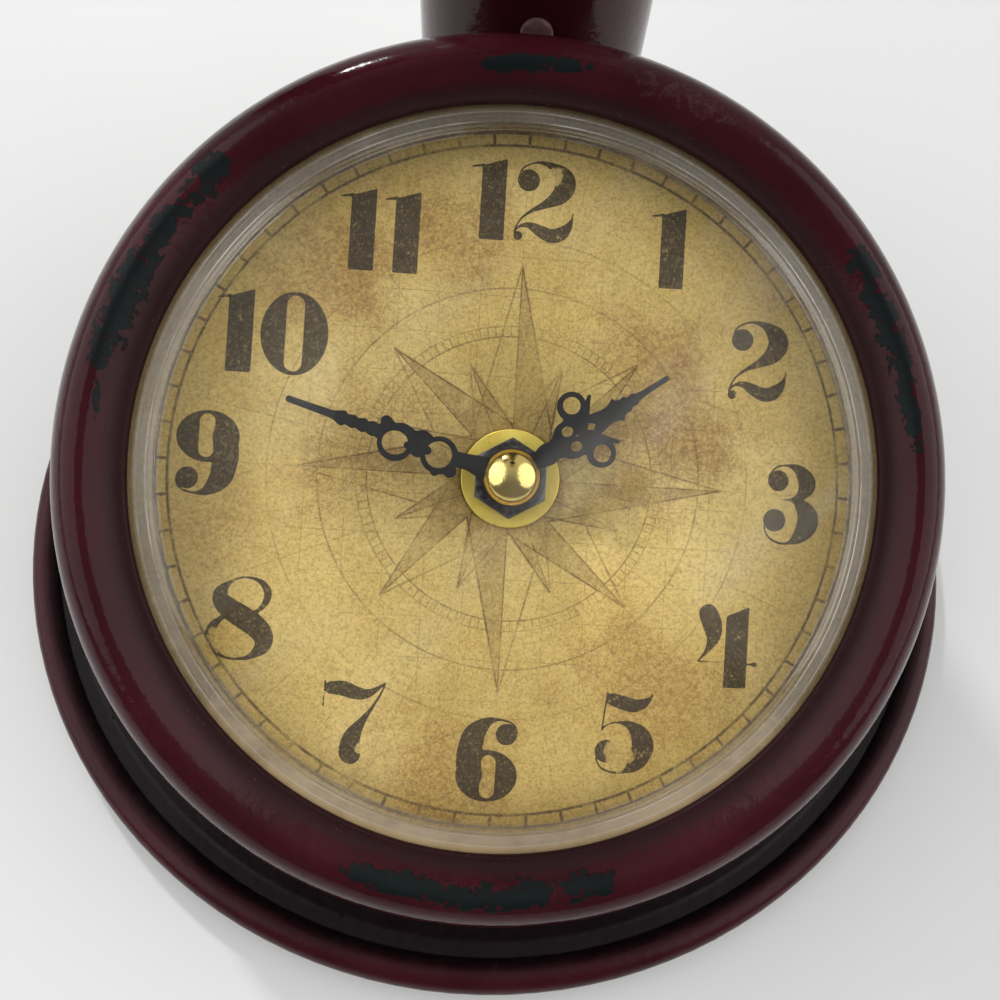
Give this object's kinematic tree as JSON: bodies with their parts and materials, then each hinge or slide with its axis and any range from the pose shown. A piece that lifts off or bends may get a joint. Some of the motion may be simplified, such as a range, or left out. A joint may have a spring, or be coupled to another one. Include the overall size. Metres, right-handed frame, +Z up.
{
  "type": "telephone-shaped table clock",
  "caption": "Table clock shaped like a candlestick telephone: an inclined round dial in a wide painted bezel on a round base, with a column, a tilting transmitter and a lift-off receiver.",
  "frame": {"origin": "on the table under the middle of the round base", "axes": "+Z up, the dial faces -Y, the receiver hangs on the -X side"},
  "size_m": [0.196, 0.196, 0.317],
  "materials": {
    "paint": "satin maroon paint, chipped",
    "steel": "zinc plated",
    "nut_steel": "dull, worn",
    "brass": "polished",
    "hand_black": "satin black",
    "dial_print": "printed parchment",
    "lens_plastic": "clear, lightly hazed",
    "iron": "raw",
    "felt": "felt",
    "rubber": "matt",
    "movement_plastic": "moulded",
    "wheel_plastic": "moulded",
    "copper": "wound wire",
    "board": "lacquered",
    "battery_sleeve": "printed sleeve, bare of text",
    "bakelite": "polished black"
  },
  "bodies": {
    "frame": {"base_pan": "paint", "ballast_ring": "iron", "bottom_plate": "steel", "felt_ring": "felt", "hatch_rivet": "steel", "bottom_screw_1": "steel", "bottom_screw_2": "steel", "bottom_screw_3": "steel", "case_wall": "paint", "front_ring": "steel", "bezel": "paint", "lens": "lens_plastic", "dial_plate": "dial_print", "brass_washer": "brass", "hex_nut": "nut_steel", "rubber_washer": "rubber", "movement_case": "movement_plastic", "movement_cover": "movement_plastic", "stator": "steel", "coil": "copper", "circuit_board": "board", "contact_plus": "steel", "contact_minus": "steel", "column_tube": "paint", "column_plug": "iron", "tie_rod": "steel", "tie_rod_nut": "steel", "column_screw": "paint", "nut_plate": "steel", "case_bracket": "iron", "head_block": "paint", "pivot_bolt": "brass", "pivot_nut": "brass", "hook_fork": "brass"},
    "hatch": {"battery_hatch": "steel"},
    "minute_work": {"minute_arbor": "steel", "minute_hand": "hand_black", "hand_cap": "brass"},
    "hour_work": {"hour_wheel": "brass", "hour_hand": "hand_black"},
    "motion_work": {"motion_wheel": "wheel_plastic"},
    "setting": {"set_knob": "wheel_plastic"},
    "centre_train": {"centre_wheel": "wheel_plastic"},
    "third_train": {"third_wheel": "wheel_plastic"},
    "second_train": {"second_wheel": "wheel_plastic"},
    "intermediate_train": {"intermediate_wheel": "wheel_plastic"},
    "motor": {"rotor": "iron"},
    "power": {"battery": "battery_sleeve"},
    "transmitter": {"transmitter_yoke": "paint", "transmitter_cup": "paint", "transmitter_face": "paint", "mouthpiece": "bakelite"},
    "receiver": {"receiver_shell": "bakelite", "ear_cap": "bakelite", "cord_bush": "brass"}
  },
  "joints": [
    {"name": "minute_turn", "type": "hinge", "parent": "frame", "child": "minute_work", "pos_m": [0, -0.02251, 0.055], "axis": [0, -0.4226, 0.9063], "continuous": true},
    {"name": "hour_turn", "type": "hinge", "parent": "frame", "child": "hour_work", "pos_m": [0, -0.02251, 0.055], "axis": [0, -0.4226, 0.9063], "continuous": true},
    {"name": "motion_turn", "type": "hinge", "parent": "frame", "child": "motion_work", "pos_m": [-0.012, -0.02251, 0.055], "axis": [0, -0.4226, 0.9063], "continuous": true},
    {"name": "set_turn", "type": "hinge", "parent": "frame", "child": "setting", "pos_m": [-0.012, -0.01027, 0.06071], "axis": [0, -0.4226, 0.9063], "continuous": true},
    {"name": "second_turn", "type": "hinge", "parent": "frame", "child": "second_train", "pos_m": [0.01603, -0.01177, 0.06], "axis": [0, -0.4226, 0.9063], "continuous": true},
    {"name": "third_turn", "type": "hinge", "parent": "frame", "child": "third_train", "pos_m": [0.00392, -0.01273, 0.05956], "axis": [0, -0.4226, 0.9063], "continuous": true},
    {"name": "centre_turn", "type": "hinge", "parent": "frame", "child": "centre_train", "pos_m": [0, -0.02251, 0.055], "axis": [0, -0.4226, 0.9063], "continuous": true},
    {"name": "intermediate_turn", "type": "hinge", "parent": "frame", "child": "intermediate_train", "pos_m": [0.01532, -0.01909, 0.05659], "axis": [0, -0.4226, 0.9063], "continuous": true},
    {"name": "rotor_turn", "type": "hinge", "parent": "frame", "child": "motor", "pos_m": [0.01932, -0.02685, 0.05297], "axis": [0, -0.4226, 0.9063], "continuous": true},
    {"name": "battery_slide", "type": "slide", "parent": "frame", "child": "power", "axis": [0, 0.4226, -0.9063], "range_m": [0, 0.016]},
    {"name": "hatch_swing", "type": "hinge", "parent": "frame", "child": "hatch", "pos_m": [0.0366, -0.01401, 0.0019], "axis": [0, 0, -1], "range_deg": [0, 85]},
    {"name": "transmitter_tilt", "type": "hinge", "parent": "frame", "child": "transmitter", "pos_m": [0, 0.0754, 0.262], "axis": [1, 0, 0], "range_deg": [-25, 25]},
    {"name": "receiver_lift", "type": "slide", "parent": "frame", "child": "receiver", "axis": [-0.5, 0, 0.866], "range_m": [0, 0.14]}
  ],
  "couplings": [
    {"joint": "hour_turn", "follows": "minute_turn", "ratio": 0.083333},
    {"joint": "motion_turn", "follows": "minute_turn", "ratio": -0.33333},
    {"joint": "set_turn", "follows": "minute_turn", "ratio": 0.66667},
    {"joint": "intermediate_turn", "follows": "rotor_turn", "ratio": -0.16667},
    {"joint": "second_turn", "follows": "rotor_turn", "ratio": 0.033333},
    {"joint": "third_turn", "follows": "rotor_turn", "ratio": -0.0041667},
    {"joint": "centre_turn", "follows": "rotor_turn", "ratio": 0.00055556}
  ]
}
